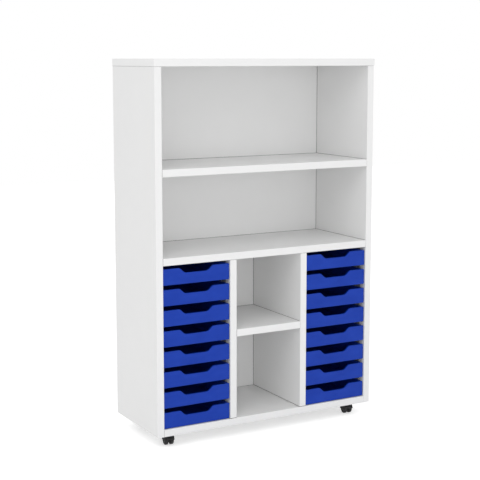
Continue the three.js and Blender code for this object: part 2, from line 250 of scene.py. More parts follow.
def rounded(corners, steps=ROUND_STEPS):
    """A closed outline through corners (u, v, radius), each rounded by its radius."""
    outline = []
    for before, (u, v, radius), after in neighbours(corners):
        here = Vector((u, v))
        if not radius:
            outline.append(here)
            continue
        back = (Vector(before[:2]) - here).normalized()
        ahead = (Vector(after[:2]) - here).normalized()
        half = back.angle(ahead) / 2
        centre = here + (back + ahead).normalized() * radius / math.sin(half)
        first = here + back * radius / math.tan(half) - centre
        last = here + ahead * radius / math.tan(half) - centre
        outline += [centre + first.slerp(last, i / steps) * radius for i in range(steps + 1)]
    return outline


def inset(outline, distance):
    """An anticlockwise outline drawn in by a distance."""
    drawn = []
    for before, here, after in neighbours(outline):
        into = (here - before).normalized()
        out = (after - here).normalized()
        inward = (into + out).normalized().orthogonal()
        drawn.append(here + inward * distance / inward.dot(into.orthogonal()))
    return drawn


def mesh_of(bm):
    """A mesh with its faces turned outwards."""
    bmesh.ops.remove_doubles(bm, verts=bm.verts, dist=SAME_PLACE)
    bmesh.ops.recalc_face_normals(bm, faces=bm.faces)
    mesh = bpy.data.meshes.new("form")
    bm.to_mesh(mesh)
    bm.free()
    return mesh


def loft(loops, is_fanned=False):
    """A closed solid through loops of points, with a cap at each end, whole or in a fan."""
    bm = bmesh.new()
    rings = [[bm.verts.new(point) for point in loop] for loop in loops]
    for ring, following in zip(rings, rings[1:]):
        for i in range(len(ring)):
            bm.faces.new((ring[i - 1], ring[i], following[i], following[i - 1]))
    for ring in (rings[0], rings[-1]):
        if is_fanned:
            middle = bm.verts.new(sum((vertex.co for vertex in ring), Vector()) / len(ring))
            for i in range(len(ring)):
                bm.faces.new((ring[i - 1], ring[i], middle))
        else:
            bm.faces.new(ring)
    return mesh_of(bm)


def on_axis(axis, place, u, v):
    """A point at a place along an axis, with the other two values in their order."""
    values = [u, v]
    values.insert("xyz".index(axis), place)
    return values


def prism(outline, axis, start, stop, rounding, last_rounding=None):
    """An outline carried along an axis, with rounded ends."""
    turns = [math.pi / 2 * i / ROUND_STEPS for i in range(ROUND_STEPS + 1)]
    quarter = [(1 - math.cos(turn), 1 - math.sin(turn)) for turn in turns]
    last = rounding if last_rounding is None else last_rounding
    places = [(start + rounding * reach, rounding * drawn) for reach, drawn in quarter]
    places += [(stop - last * reach, last * drawn) for reach, drawn in reversed(quarter)]
    return loft([[on_axis(axis, place, u, v) for u, v in inset(outline, drawn)] for place, drawn in places])


def lathe(profile, axis, steps=LATHE_STEPS):
    """A closed solid turned about an axis from points (place along the axis, radius)."""
    turns = [2 * math.pi * i / steps for i in range(steps)]
    return loft([
        [on_axis(axis, place, radius * math.cos(a), radius * math.sin(a)) for a in turns]
        for place, radius in profile
    ])


def placed(mesh, transform):
    """A copy of a mesh, moved and turned."""
    copy = mesh.copy()
    copy.transform(transform)
    return copy


def combined(operation, mesh, *tools):
    """One mesh joined with or cut by others."""
    scene_objects = bpy.context.scene.collection.objects
    helpers = [bpy.data.objects.new("helper", m) for m in (mesh, *tools)]
    for helper in helpers:
        scene_objects.link(helper)
    for tool in helpers[1:]:
        modifier = helpers[0].modifiers.new("combine", "BOOLEAN")
        modifier.operation = operation
        modifier.solver = "EXACT"
        modifier.object = tool
    evaluated = helpers[0].evaluated_get(bpy.context.evaluated_depsgraph_get())
    result = bpy.data.meshes.new_from_object(evaluated)
    for helper in helpers:
        bpy.data.objects.remove(helper)
    bm = bmesh.new()
    bm.from_mesh(result)
    bmesh.ops.dissolve_degenerate(bm, dist=FIT, edges=bm.edges)
    bm.to_mesh(result)
    bm.free()
    return result


def gathered(meshes):
    """Separate solids in one mesh."""
    bm = bmesh.new()
    for mesh in meshes:
        bm.from_mesh(mesh)
    result = bpy.data.meshes.new("gathered")
    bm.to_mesh(result)
    bm.free()
    return result


def even_shading(piece):
    """Flat faces shade flat and rounded edges shade round."""
    piece.data.shade_smooth()
    piece.data.set_sharp_from_angle(angle=SMOOTH_ANGLE)
    modifier = piece.modifiers.new("even_shading", "WEIGHTED_NORMAL")
    modifier.keep_sharp = True


def add_piece(name, mesh, body, slot, materials, *nodes):
    """A piece of the object that rides on a body and stands for CAD nodes, if any are named."""
    piece = bpy.data.objects.new(name, mesh)
    mesh.name = name
    bpy.context.scene.collection.objects.link(piece)
    mesh.materials.clear()
    for material in materials:
        mesh.materials.append(material)
    even_shading(piece)
    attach(piece, body)
    if nodes:
        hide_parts(*nodes)
    return piece


def dress_node(name, material, rounding):
    """A CAD node that stays: its edges are eased by modifiers, and it gets a finish."""
    node = frame["nodes"][name]
    node.data.materials.clear()
    node.data.materials.append(material)
    weld = node.modifiers.new("weld", "WELD")
    weld.merge_threshold = FIT
    ease = node.modifiers.new("ease", "BEVEL")
    ease.width = rounding
    ease.segments = EASE_STEPS
    ease.limit_method = "ANGLE"
    ease.angle_limit = SMOOTH_ANGLE
    ease.harden_normals = True
    tidy = node.modifiers.new("tidy", "WELD")
    tidy.merge_threshold = FIT


# Materials

def new_finish(name, **sockets):
    """A material whose shader sockets are set, such as Metallic or Specular_IOR_Level."""
    material = bpy.data.materials.new(name)
    material.use_nodes = True
    shader = material.node_tree.nodes["Principled BSDF"]
    for socket, value in sockets.items():
        shader.inputs[socket.replace("_", " ")].default_value = value
    return material


def noise(material, scale, detail, stretch=(1, 1, 1)):
    """A cloudy pattern in the piece's own coordinates, with about scale blotches to a metre."""
    nodes, links = material.node_tree.nodes, material.node_tree.links
    coordinates = nodes.new("ShaderNodeTexCoord")
    mapping = nodes.new("ShaderNodeMapping")
    mapping.inputs["Scale"].default_value = stretch
    pattern = nodes.new("ShaderNodeTexNoise")
    pattern.inputs["Scale"].default_value = scale
    pattern.inputs["Detail"].default_value = detail
    links.new(coordinates.outputs["Object"], mapping.inputs["Vector"])
    links.new(mapping.outputs["Vector"], pattern.inputs["Vector"])
    return pattern.outputs["Fac"]


def tint(material, pattern, low, high):
    """The base colour runs between two colours with a pattern."""
    nodes, links = material.node_tree.nodes, material.node_tree.links
    ramp = nodes.new("ShaderNodeValToRGB")
    for stop, (place, colour) in zip(ramp.color_ramp.elements, ((NOISE_LOW, low), (NOISE_HIGH, high))):
        stop.position = place
        stop.color = (*colour, 1)
    links.new(pattern, ramp.inputs["Fac"])
    links.new(ramp.outputs["Color"], nodes["Principled BSDF"].inputs["Base Color"])


def shine(material, pattern, low, high):
    """The roughness runs between two values with a pattern."""
    nodes, links = material.node_tree.nodes, material.node_tree.links
    spread = nodes.new("ShaderNodeMapRange")
    spread.inputs["From Min"].default_value = NOISE_LOW
    spread.inputs["From Max"].default_value = NOISE_HIGH
    spread.inputs["To Min"].default_value = low
    spread.inputs["To Max"].default_value = high
    links.new(pattern, spread.inputs["Value"])
    links.new(spread.outputs["Result"], nodes["Principled BSDF"].inputs["Roughness"])


def relief(material, pattern, height, strength):
    """A fine bump from a pattern."""
    nodes, links = material.node_tree.nodes, material.node_tree.links
    bump = nodes.new("ShaderNodeBump")
    bump.inputs["Strength"].default_value = strength
    bump.inputs["Distance"].default_value = height
    links.new(pattern, bump.inputs["Height"])
    links.new(bump.outputs["Normal"], nodes["Principled BSDF"].inputs["Normal"])


def melamine():
    """White melamine facing: nearly even, with a fine pearl texture."""
    material = new_finish("white_melamine", Specular_IOR_Level=0.35)
    blotches = noise(material, scale=9, detail=4)
    tint(material, blotches, low=(0.828, 0.829, 0.827), high=(0.840, 0.840, 0.838))
    shine(material, noise(material, scale=35, detail=3), low=0.38, high=0.48)
    relief(material, noise(material, scale=900, detail=2), height=0.08 * MM, strength=0.25)
    return material


def edge_band():
    """White plastic edge band: smoother than the facing, with faint lengthwise drawing lines."""
    material = new_finish("white_edge_band", Specular_IOR_Level=0.4)
    blotches = noise(material, scale=14, detail=3)
    tint(material, blotches, low=(0.844, 0.845, 0.844), high=(0.855, 0.855, 0.854))
    shine(material, noise(material, scale=60, detail=2, stretch=(1, 1, 0.2)), low=0.30, high=0.40)
    streaks = noise(material, scale=420, detail=2, stretch=(1, 1, 0.1))
    relief(material, streaks, height=0.05 * MM, strength=0.2)
    return material


def back_facing():
    """White-faced hardboard: rougher than the boards, and a little paler as painted light for the brighter
    back inside the bays.
    """
    material = new_finish("white_hardboard", Specular_IOR_Level=0.3)
    blotches = noise(material, scale=7, detail=5)
    # The small extra paleness over the boards is painted light, standing for more light on the back inside
    # the bays.
    tint(material, blotches, low=(0.850, 0.851, 0.849), high=(0.864, 0.864, 0.862))
    shine(material, noise(material, scale=40, detail=3), low=0.46, high=0.58)
    relief(material, noise(material, scale=700, detail=3), height=0.1 * MM, strength=0.3)
    return material


def raw_core_painted_shade():
    """Raw particle board in the joints, coloured near black as painted shade: rough, with a coarse grain."""
    material = new_finish("raw_core_painted_shade", Specular_IOR_Level=0.1)
    blotches = noise(material, scale=500, detail=4)
    # The near-black colour is painted shade for the joints; bare particle board is a pale tan.
    tint(material, blotches, low=(0.035, 0.034, 0.033), high=(0.065, 0.063, 0.061))
    shine(material, noise(material, scale=300, detail=2), low=0.75, high=0.9)
    relief(material, noise(material, scale=900, detail=3), height=0.1 * MM, strength=0.3)
    return material


def tray_plastic():
    """Moulded blue plastic: satin, with a fine spark texture and slight flow variation."""
    material = new_finish("blue_polypropylene", Specular_IOR_Level=0.2)
    blotches = noise(material, scale=16, detail=4, stretch=(1, 1, 2))
    tint(material, blotches, low=(0.004, 0.039, 0.367), high=(0.007, 0.047, 0.407))
    shine(material, noise(material, scale=55, detail=3), low=0.36, high=0.48)
    relief(material, noise(material, scale=1600, detail=2), height=0.05 * MM, strength=0.25)
    return material


def runner_plastic():
    """Mid grey extruded runner, dark enough to stand as painted shade in the gaps between the trays: matt,
    slightly uneven.
    """
    material = new_finish("grey_runner_plastic", Specular_IOR_Level=0.3)
    blotches = noise(material, scale=30, detail=3)
    # The mid grey is partly painted shade: dark enough that the runner reads as the shade in the gaps between
    # trays.
    tint(material, blotches, low=(0.245, 0.245, 0.25), high=(0.275, 0.275, 0.28))
    shine(material, noise(material, scale=90, detail=2), low=0.42, high=0.55)
    relief(material, noise(material, scale=1400, detail=2), height=0.05 * MM, strength=0.2)
    return material


def hood_nylon():
    """Black glass-filled nylon: matt, with a grained surface."""
    material = new_finish("black_nylon", Specular_IOR_Level=0.3)
    blotches = noise(material, scale=120, detail=4)
    tint(material, blotches, low=(0.009, 0.009, 0.010), high=(0.015, 0.015, 0.016))
    shine(material, noise(material, scale=260, detail=3), low=0.38, high=0.52)
    relief(material, noise(material, scale=2200, detail=2), height=0.06 * MM, strength=0.35)
    return material


def wheel_plastic():
    """Nearly black wheel plastic, scuffed a little paler in places."""
    material = new_finish("dark_wheel_plastic", Specular_IOR_Level=0.3)
    blotches = noise(material, scale=180, detail=5)
    tint(material, blotches, low=(0.012, 0.012, 0.013), high=(0.026, 0.026, 0.027))
    shine(material, noise(material, scale=300, detail=3), low=0.45, high=0.65)
    relief(material, noise(material, scale=1500, detail=3), height=0.06 * MM, strength=0.35)
    return material


def zinc_steel():
    """Zinc-plated steel: bright, with a slight cloudy passivation."""
    material = new_finish("zinc_steel", Metallic=1.0)
    blotches = noise(material, scale=150, detail=4)
    tint(material, blotches, low=(0.50, 0.51, 0.52), high=(0.66, 0.66, 0.65))
    shine(material, noise(material, scale=400, detail=3), low=0.24, high=0.40)
    relief(material, noise(material, scale=1800, detail=2), height=0.02 * MM, strength=0.2)
    return material


FACING = melamine()
BAND = edge_band()
BACKING = back_facing()
# The core finish is the near-black raw board colour: painted shade in the joints.
CORE_PAINTED_SHADE = raw_core_painted_shade()
TRAY = tray_plastic()
RUNNER = runner_plastic()
HOOD = hood_nylon()
WHEEL = wheel_plastic()
STEEL = zinc_steel()


# Boards

def groove(depth, across, side):
    """The fine line between the band and the facing, on a face to the given side of the board."""
    return [
        (depth - BAND_GROOVE, across, 0),
        (depth, across - side * BAND_GROOVE, 0),
        (depth + BAND_GROOVE, across, 0),
    ]


def board_section(front, back, low, high):
    """Corners of a board's section in depth and thickness, with a banded front edge."""
    seam = front + BAND_THICKNESS
    return [
        (front, low, EDGE_ROUND),
        *groove(seam, low, -1),
        (back, low, JOINT_ROUND),
        (back, high, JOINT_ROUND),
        *reversed(groove(seam, high, 1)),
        (front, high, EDGE_ROUND),
    ]


def in_plan(section):
    """The corners of a section in depth and thickness, as a plan in thickness and depth."""
    return [(across, depth, radius) for depth, across, radius in reversed(section)]


def bar(low, high):
    """A plain block between two corners."""
    outline = rounded(rectangle(low.x, low.y, high.x, high.y))
    return loft([[(x, y, z) for x, y in outline] for z in (low.z, high.z)])


def slab(low, high, axis, start, stop):
    """The part of a box between two places on an axis, as its corners."""
    index = "xyz".index(axis)
    first, last = Vector(low), Vector(high)
    first[index], last[index] = start, stop
    return first, last


def is_inside(points, box):
    """Whether all the points lie in a box, within the fit."""
    low, high = box
    return all(low[i] - FIT <= point[i] <= high[i] + FIT for point in points for i in range(3))


def add_board(node, mesh, is_band, raw_painted_shade_boxes=(), slot="white_board", finishes=(FACING, BAND, CORE_PAINTED_SHADE)):
    """A board whose faces on the edge band, and in the boxes of raw ends and seams coloured near black as
    painted joint shade, have their own finishes.
    """
    board = add_piece(node + "_board", mesh, CABINET, slot, finishes, node)
    for face in board.data.polygons:
        corners = [board.data.vertices[index].co for index in face.vertices]
        if any(is_inside(corners, box) for box in raw_painted_shade_boxes):
            # Raw ends and seams get the near-black core finish: painted shade in the joints.
            finish = CORE_PAINTED_SHADE
        elif is_band(face):
            finish = BAND
        else:
            finish = finishes[0]
        face.material_index = finishes.index(finish)


def on_front(front):
    """A test for the faces of the band on a board's front edge."""
    return lambda face: face.center.y < front + BAND_THICKNESS


def seams_above(nodes, face, side):
    """Seams in a face towards a side, close above the boards that end there."""
    seams = []
    for node in nodes:
        low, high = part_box(node)
        reach = sorted((face - side * SEAM_DEPTH, face + side * SEAM_DEPTH))
        seams.append((
            Vector((reach[0], low.y + SEAM_SETBACK, high.z)),
            Vector((reach[1], high.y + SEAM_SETBACK, high.z + SEAM_HEIGHT)),
        ))
    return seams


def cut_by(mesh, seams):
    """A board's mesh with its seams cut into it."""
    return combined("DIFFERENCE", mesh, *[bar(*seam) for seam in seams])


def add_shelf(node, end_round=END_ROUND):
    """A board between two upright ones, with raw ends coloured near black as painted shade."""
    low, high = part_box(node)
    section = board_section(low.y, high.y, low.z, high.z)
    mesh = prism(rounded(section), "x", low.x, high.x, end_round)
    ends = [
        slab(low, high, "x", low.x, low.x + end_round),
        slab(low, high, "x", high.x - end_round, high.x),
    ]
    add_board(node, mesh, on_front(low.y), ends)


def add_divider(node, side):
    """A divider, with a seam above the centre shelf on its face to the middle of the unit."""
    low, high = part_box(node)
    plan = in_plan(board_section(low.y, high.y, low.x, high.x))
    mesh = prism(rounded(plan), "z", low.z, high.z, FOOT_JOINT_ROUND, END_ROUND)
    seams = seams_above(["centre_shelf"], high.x if side < 0 else low.x, -side)
    ends = [
        slab(low, high, "z", low.z, low.z + FOOT_JOINT_ROUND),
        slab(low, high, "z", high.z - END_ROUND, high.z),
    ]
    # The ends and the seam get the near-black core finish: painted shade in the joints.
    add_board(node, cut_by(mesh, seams), on_front(low.y), ends + seams)


def add_side_panel(node, side):
    """A side panel, cut away inside its rear edge for the back panel."""
    low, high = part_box(node)
    back_low, back_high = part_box("back_panel")
    section = board_section(low.y, high.y, low.x, high.x)
    rear = [corner for corner in section if corner[0] == high.y]
    others_before = section[:section.index(rear[0])]
    others_after = section[section.index(rear[1]) + 1:]
    rebate = (back_low.x if side < 0 else back_high.x) + side * END_ROUND
    cut = [(high.y, rebate, JOINT_ROUND), (back_low.y, rebate, JOINT_ROUND)]
    if side < 0:
        rear = [rear[0], *cut, (back_low.y, high.x, JOINT_ROUND)]
    else:
        rear = [(back_low.y, low.x, JOINT_ROUND), *reversed(cut), rear[1]]
    plan = in_plan(others_before + rear + others_after)
    mesh = prism(rounded(plan), "z", low.z, high.z, END_ROUND)
    seams = seams_above(["mid_shelf", "upper_shelf"], high.x if side < 0 else low.x, -side)
    head = slab(low, high, "z", high.z - END_ROUND, high.z)
    # The head and the seams get the near-black core finish: painted shade in the joints.
    add_board(node, cut_by(mesh, seams), on_front(low.y), [head, *seams])


def add_top_panel(node):
    """The top, banded all round, with its upper and lower edges eased."""
    low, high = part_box(node)
    plan = rectangle(low.x, low.y, high.x, high.y, TOP_CORNER)
    mesh = prism(rounded(plan), "z", low.z, high.z, EDGE_ROUND)
    add_board(node, mesh, lambda face: abs(face.normal.z) < math.cos(SMOOTH_ANGLE))


def back_seams(front):
    """Seams in the back panel's front face, close above the shelves and beside the upright boards."""
    seams = []
    for node in ("bottom_panel", "centre_shelf", "mid_shelf", "upper_shelf"):
        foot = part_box(node)[1].z
        bay_low, bay_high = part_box("centre_shelf" if node == "bottom_panel" else node)
        seams.append(((bay_low.x, bay_high.x), (foot, foot + SEAM_HEIGHT)))
    floor, shelf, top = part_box("bottom_panel")[1].z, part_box("mid_shelf"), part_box("top_panel")[0].z
    for hand, side in SIDES.items():
        inner_corner = 1 if side < 0 else 0
        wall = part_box(hand + "_side_panel")[inner_corner].x
        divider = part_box(hand + "_divider")[inner_corner].x
        seams.append((sorted((wall, wall - side * SEAM_WIDTH)), (shelf[1].z, top)))
        seams.append((sorted((divider, divider - side * SEAM_WIDTH)), (floor, shelf[0].z)))
    return [
        (Vector((left, front - SEAM_DEPTH, foot)), Vector((right, front + SEAM_DEPTH, head)))
        for (left, right), (foot, head) in seams
    ]


def add_back_panel(node):
    """The thin back, which has no edge band."""
    low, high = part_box(node)
    outline = rectangle(low.x, low.z, high.x, high.z, JOINT_ROUND)
    mesh = prism(rounded(outline), "y", low.y, high.y - BACK_PANEL_SETBACK, END_ROUND)
    seams = back_seams(low.y)
    # The seams get the near-black core finish: painted shade in the joints.
    add_board(node, cut_by(mesh, seams), lambda face: False, seams, "white_back", (BACKING, CORE_PAINTED_SHADE))


# Trays

def scoop_edge():
    """The front's upper edge across the scoop, from left to right, as (x, drop below the top)."""
    across = Vector((1, 0))
    shoulder = Vector((-SCOOP_TOP_HALF, 0))
    foot = Vector((-SCOOP_FOOT_HALF, SCOOP_DEPTH))
    slope = (foot - shoulder).normalized()
    left = bend(shoulder - across * SCOOP_SHOULDER_LEG, shoulder, shoulder + slope * SCOOP_SHOULDER_LEG)
    left += bend(foot - slope * SCOOP_FOOT_LEG, foot, foot + across * SCOOP_FOOT_LEG)
    return left + [Vector((-x, drop)) for x, drop in reversed(left)]


def tray_front(width):
    """The flat front with its finger scoop and softly rounded edges."""
    half = width / 2
    corners = [(-half, 0, FRONT_CORNER), (half, 0, FRONT_CORNER), (half, FRONT_HEIGHT, FRONT_CORNER)]
    corners += [(x, FRONT_HEIGHT - drop, 0) for x, drop in reversed(scoop_edge())]
    corners += [(-half, FRONT_HEIGHT, FRONT_CORNER)]
    return prism(rounded(corners), "y", 0, FRONT_THICKNESS, FRONT_FACE_ROUND, FRONT_REAR_ROUND)


def lip_share(x):
    """1 where the lip has its full reach, fading to 0 towards the corners."""
    share = (LIP_FADE_STOP - abs(x)) / (LIP_FADE_STOP - LIP_FADE_START)
    share = min(1, max(0, share))
    return share * share * (3 - 2 * share)


def tub_plan(back):
    """Round the tub's outer wall at the rim: (place, outward direction, scoop's drop, lip's share)."""
    front_corner = TUB_HALF - TUB_FRONT_CORNER
    rear_corner = TUB_HALF - TUB_REAR_CORNER
    fade = [LIP_FADE_START + (LIP_FADE_STOP - LIP_FADE_START) * i / BEND_STEPS for i in range(BEND_STEPS + 1)]
    edge = [Vector((-x, 0)) for x in reversed(fade)] + scoop_edge() + [Vector((x, 0)) for x in fade]
    plan = [(Vector((x, TUB_FRONT)), Vector((0, -1)), drop, lip_share(x)) for x, drop in edge]
    for centre, radius, start in (
        (Vector((front_corner, TUB_FRONT + TUB_FRONT_CORNER)), TUB_FRONT_CORNER, -90),
        (Vector((rear_corner, back - TUB_REAR_CORNER)), TUB_REAR_CORNER, 0),
        (Vector((-rear_corner, back - TUB_REAR_CORNER)), TUB_REAR_CORNER, 90),
        (Vector((-front_corner, TUB_FRONT + TUB_FRONT_CORNER)), TUB_FRONT_CORNER, 180),
    ):
        for place in arc(centre, radius, start, start + 90, CORNER_STEPS):
            plan.append((place, (place - centre).normalized(), 0, 0))
    return plan


def tub_stages():
    """The tub's section from the middle of its foot, over the rim and down to the inner floor.

    Each stage is ((reach outwards, height) at the rim, the same at the lip, whether the scoop lowers it).
    """
    rim_top = FRONT_HEIGHT - SEAM_DROP
    rim_foot = FRONT_HEIGHT - RIM_THICKNESS
    rim_round = (rim_top - rim_foot) / 2
    lip_round = LIP_THICKNESS / 2
    lip_foot = rim_top - LIP_THICKNESS
    inner = -TUB_WALL
    recess = TUB_FOOT + FOOT_RECESS
    foot = [(-FOOT_RING - FOOT_STEP, recess), (-FOOT_RING, recess), (-FOOT_RING + FOOT_RECESS, TUB_FOOT)]
    foot += arc((-TUB_FILLET, TUB_FOOT + TUB_FILLET), TUB_FILLET, -90, 0, FILLET_STEPS)
    neck = arc((WALL_ROUND, rim_foot - WALL_ROUND), WALL_ROUND, 180, NECK_STOP, ROUND_STEPS)
    edge = arc((RIM_REACH - rim_round, rim_foot + rim_round), rim_round, -RIM_SPAN, RIM_SPAN, 2 * ROUND_STEPS)
    brink = arc((inner + WALL_ROUND, rim_top - WALL_ROUND), WALL_ROUND, 90, 180, 2 * ROUND_STEPS)
    lip_edge = arc((-LIP_REACH + lip_round, rim_top - lip_round), lip_round, 90, 270, 2 * ROUND_STEPS)
    below = [(inner, rim_top - WALL_ROUND - WALL_STEP * (i + 1)) for i in range(ROUND_STEPS + 1)]
    lip_root = arc((inner - WALL_ROUND, lip_foot - WALL_ROUND), WALL_ROUND, 90, 0, ROUND_STEPS)
    floor = arc((inner - TUB_FILLET, TUB_FLOOR + TUB_FILLET), TUB_FILLET, 0, -90, FILLET_STEPS)
    stages = [(point, point, False) for point in foot]
    stages += [(point, point, True) for point in neck + edge]
    stages += [(point, lip, True) for point, lip in zip(brink + below, lip_edge + lip_root)]
    return stages + [(point, point, False) for point in floor]


def tub(depth):
    """The open tub with its rim, and the lip that follows the scoop behind the front."""
    back = depth - RIM_REACH
    loops = []
    for rim, lip, lowered in tub_stages():
        loop = []
        for place, outward, drop, share in tub_plan(back):
            reach, height = Vector(rim).lerp(Vector(lip), share)
            at_front = place.y == TUB_FRONT
            x, y = place + outward * (min(reach, 0) if at_front else reach)
            drawn = TUB_TAPER * max(0, 1 - height / FRONT_HEIGHT)
            x *= 1 - drawn / TUB_HALF
            y = TUB_FRONT + max(0, y - TUB_FRONT) * (1 - drawn / (back - TUB_FRONT))
            loop.append((x, y, height - (drop if lowered else 0)))
        loops.append(loop)
    return loft(loops, is_fanned=True)


def tray_stop(side, depth):
    """The nub on the rim that meets the runner at the end of the travel."""
    outer = side * (TUB_HALF + RIM_REACH - END_ROUND)
    left, right = sorted((outer, outer - side * STOP_WIDTH))
    front = depth - STOP_REAR_INSET - STOP_LENGTH / 2
    back = front + STOP_LENGTH
    plan = rectangle(left, front, right, back, JOINT_ROUND)
    return prism(rounded(plan), "z", FRONT_HEIGHT - STOP_SINK, FRONT_HEIGHT + STOP_HEIGHT, STOP_SINK)


def tray_form(node):
    """One tray moulding, with the middle of its front's lower edge at the origin."""
    low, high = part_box(node)
    width, depth = high.x - low.x, high.y - low.y
    stops = [tray_stop(side, depth) for side in SIDES.values()]
    return combined("UNION", tub(depth), tray_front(width), *stops)


def add_trays():
    """The trays, all copies of one moulding."""
    form = tray_form("left_tray_1")
    for column in SIDES:
        for row in TRAY_ROWS:
            node = f"{column}_tray_{row}"
            low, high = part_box(node)
            place = Matrix.Translation(((low.x + high.x) / 2, low.y, low.z))
            add_piece(node + "_moulding", placed(form, place), node, "blue_tray", (TRAY,), node)


# Castors

def around_wheels(radius, start, stop, steps):
    """Points of an arc about the wheels' axle, in depth and height."""
    return arc((-TRAIL, WHEEL_RADIUS), radius, start, stop, steps)


def fender():
    """The arched cover over both wheels, with rounded edges."""
    section = rounded(rectangle(-HOOD_HALF, FENDER_INNER, HOOD_HALF, FENDER_OUTER, FENDER_ROUND))
    loops = []
    for i in range(FENDER_STEPS + 1):
        angle = math.radians(FENDER_START + (FENDER_STOP - FENDER_START) * i / FENDER_STEPS)
        along, up = math.cos(angle), math.sin(angle)
        loops.append([(x, radius * along - TRAIL, radius * up + WHEEL_RADIUS) for x, radius in section])
    return loft(loops)


def hood_form():
    """The castor's body: fender, the web between the wheels and the boss round the king pin."""
    outline = around_wheels((FENDER_INNER + FENDER_OUTER) / 2, FENDER_START, FENDER_STOP, FENDER_STEPS)
    outline += around_wheels(WEB_HUB, FENDER_STOP, FENDER_START + 360, HUB_STEPS)
    web = prism(outline, "x", -WEB_HALF, WEB_HALF, END_ROUND)
    boss = lathe([
        (BOSS_FOOT, BOSS_RADIUS),
        (BOSS_TOP - JOINT_ROUND, BOSS_RADIUS),
        (BOSS_TOP, BOSS_RADIUS - JOINT_ROUND),
        (BOSS_TOP, PIN_BORE + JOINT_ROUND),
        (BOSS_TOP - JOINT_ROUND, PIN_BORE),
        (PIN_BORE_FOOT, PIN_BORE),
    ], "z")
    clear = FENDER_INNER + END_ROUND
    wheel_space = lathe([(-2 * HOOD_HALF, clear), (2 * HOOD_HALF, clear)], "x")
    wheel_space.transform(Matrix.Translation((0, -TRAIL, WHEEL_RADIUS)))
    return combined("UNION", combined("DIFFERENCE", boss, wheel_space), fender(), web)


def wheel_form():
    """One wheel about the X axis, from its inner face at x = 0, with a dished face and a hub button."""
    inner_corner = (WHEEL_INNER_EDGE, WHEEL_RADIUS - WHEEL_INNER_EDGE)
    outer_corner = (WHEEL_WIDTH - WHEEL_OUTER_EDGE, WHEEL_RADIUS - WHEEL_OUTER_EDGE)
    dish = WHEEL_WIDTH - DISH_DEPTH
    button = WHEEL_WIDTH - BUTTON_DROP
    return lathe([
        (WHEEL_BORE_DEPTH, WHEEL_BORE),
        (BUTTON_EASE, WHEEL_BORE),
        (0, WHEEL_BORE + BUTTON_EASE),
        *arc(inner_corner, WHEEL_INNER_EDGE, 180, 90, FILLET_STEPS),
        *arc(outer_corner, WHEEL_OUTER_EDGE, 90, 0, FILLET_STEPS),
        (WHEEL_WIDTH, DISH_RADIUS + DISH_DEPTH),
        (dish, DISH_RADIUS),
        (dish, BUTTON_RADIUS + BUTTON_EASE),
        (button - BUTTON_EASE, BUTTON_RADIUS),
        (button, BUTTON_RADIUS - BUTTON_EASE),
        (button, BUTTON_EASE),
    ], "x")


def add_castors():
    """The castors: moulded hoods and wheels, and the steel parts of the CAD model."""
    hood = hood_form()
    wheel = wheel_form()
    wheel_turns = {"left": math.pi, "right": 0}
    for end in ENDS:
        for hand in SIDES:
            castor = f"{end}_{hand}_castor"
            low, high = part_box(castor + "_king_pin")
            axis = Matrix.Translation(((low.x + high.x) / 2, (low.y + high.y) / 2, 0))
            stand = axis @ Matrix.Rotation(CASTOR_ANGLE, 4, "Z")
            mesh = placed(hood, stand)
            add_piece(castor + "_hood_moulding", mesh, castor, "castor_hood", (HOOD,), castor + "_hood")
            for wheel_hand, side in SIDES.items():
                node = f"{castor}_{wheel_hand}_wheel"
                seat = stand @ Matrix.Translation((side * WHEEL_INNER_FACE, -TRAIL, WHEEL_RADIUS))
                mesh = placed(wheel, seat @ Matrix.Rotation(wheel_turns[wheel_hand], 4, "Z"))
                add_piece(node + "_moulding", mesh, node, "castor_wheel", (WHEEL,), node)
            for part in ("plate", "king_pin", "axle"):
                dress_node(f"{castor}_{part}", STEEL, STEEL_EASE)


# Runner strips and fasteners

def screw_head(radius, height):
    """A domed screw head on z = 0 with a cross recess."""
    turns = [math.pi / 2 * i / DOME_STEPS for i in range(DOME_STEPS)]
    dome = [(height * math.sin(turn), radius * math.cos(turn)) for turn in turns]
    head = lathe([(-height * SINK_SHARE, radius), *dome, (height, radius * CROWN_SHARE)], "z", SCREW_STEPS)
    half = radius * CROSS_WIDTH_SHARE / 2
    reach = radius * CROSS_LENGTH_SHARE / 2
    bars = []
    for across, along in ((half, reach), (reach, half)):
        outline = rounded(rectangle(-across, -along, across, along))
        bars.append(prism(outline, "z", height * CROSS_FLOOR_SHARE, height * 2, half * CROSS_EASE_SHARE))
    return combined("DIFFERENCE", head, *bars)


def add_screws(name, size, places, facing):
    """Screw heads at their places, turned from +Z to the way they face."""
    head = screw_head(*size)
    turn = Vector((0, 0, 1)).rotation_difference(Vector(facing)).to_matrix().to_4x4()
    copies = []
    for i, place in enumerate(places):
        stand = Matrix.Translation(place) @ turn
        copies.append(placed(head, stand @ Matrix.Rotation(i * SCREW_TURN, 4, "Z")))
    add_piece(name, gathered(copies), CABINET, "castor_steel", (STEEL,))


def add_runners():
    """The runner strips, each held by screws through its backing."""
    for column in SIDES:
        for end, facing in SIDES.items():
            node = f"{column}_bay_{end}_runner_strip"
            dress_node(node, RUNNER, RUNNER_EASE)
            low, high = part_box(node)
            face = high.x - RUNNER_BACKING if facing > 0 else low.x + RUNNER_BACKING
            depths = (low.y + RUNNER_SCREW_END_INSET, high.y - RUNNER_SCREW_END_INSET)
            feet = [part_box(f"{column}_tray_{row}")[0].z for row in RUNNER_SCREW_TRAYS]
            places = [(face, y, foot + RUNNER_SCREW_HEIGHT) for y in depths for foot in feet]
            add_screws(node + "_screws", RUNNER_SCREW, places, (-facing, 0, 0))


